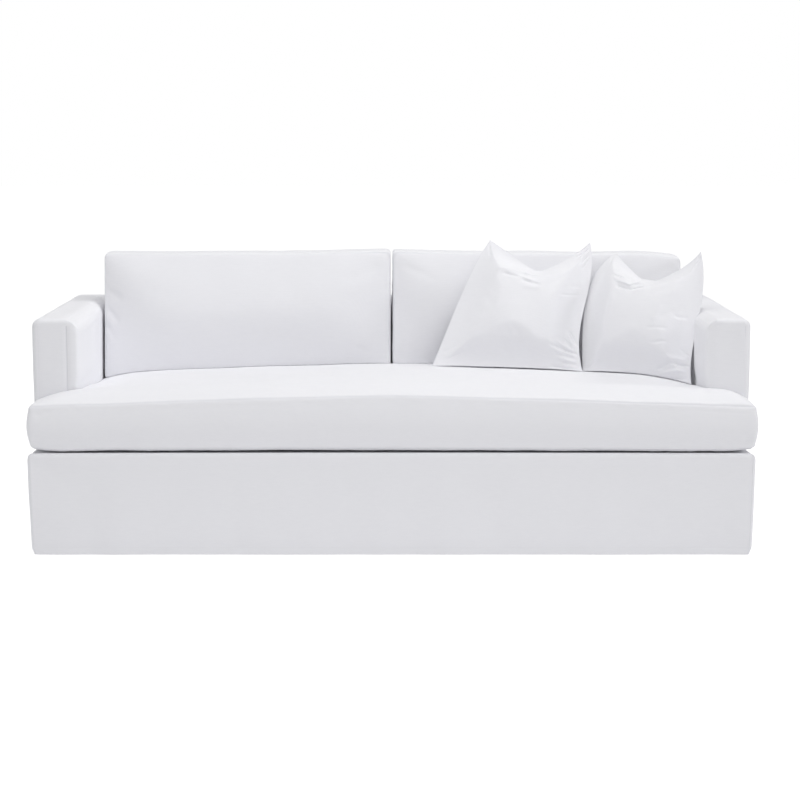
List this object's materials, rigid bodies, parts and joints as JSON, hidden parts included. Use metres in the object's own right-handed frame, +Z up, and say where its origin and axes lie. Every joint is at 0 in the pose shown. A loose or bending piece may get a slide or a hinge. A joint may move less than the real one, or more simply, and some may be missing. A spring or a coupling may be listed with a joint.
{
  "type": "fitted sofa slipcover with its covered cushions",
  "caption": "Fitted floor-length cloth cover for a square-armed sofa, hollow and open at the floor, with a bench seat cushion and back and scatter cushions in the same cloth.",
  "frame": {"origin": "on the floor, below the middle of the cover", "axes": "+X along the sofa's length towards its right-hand arm as seen from the front, -Y out of the front, +Z up"},
  "size_m": [2.28, 0.999, 0.9435],
  "materials": {
    "cover_cloth": "matt white woven cotton",
    "seat_cushion_cloth": "matt white woven cotton",
    "back_cushion_cloth": "matt white woven cotton",
    "scatter_cushion_cloth": "matt white woven cotton"
  },
  "bodies": {
    "root": {"front_apron": "cover_cloth", "outside_arm_left": "cover_cloth", "outside_arm_right": "cover_cloth", "arm_front_left": "cover_cloth", "arm_front_right": "cover_cloth", "arm_wrap_left": "cover_cloth", "arm_wrap_right": "cover_cloth", "inside_back": "cover_cloth", "outside_back": "cover_cloth", "deck": "cover_cloth", "seat_cushion": "seat_cushion_cloth", "back_cushion_left": "back_cushion_cloth", "back_cushion_right": "back_cushion_cloth", "scatter_cushion_left": "scatter_cushion_cloth", "scatter_cushion_right": "scatter_cushion_cloth"}
  },
  "joints": []
}
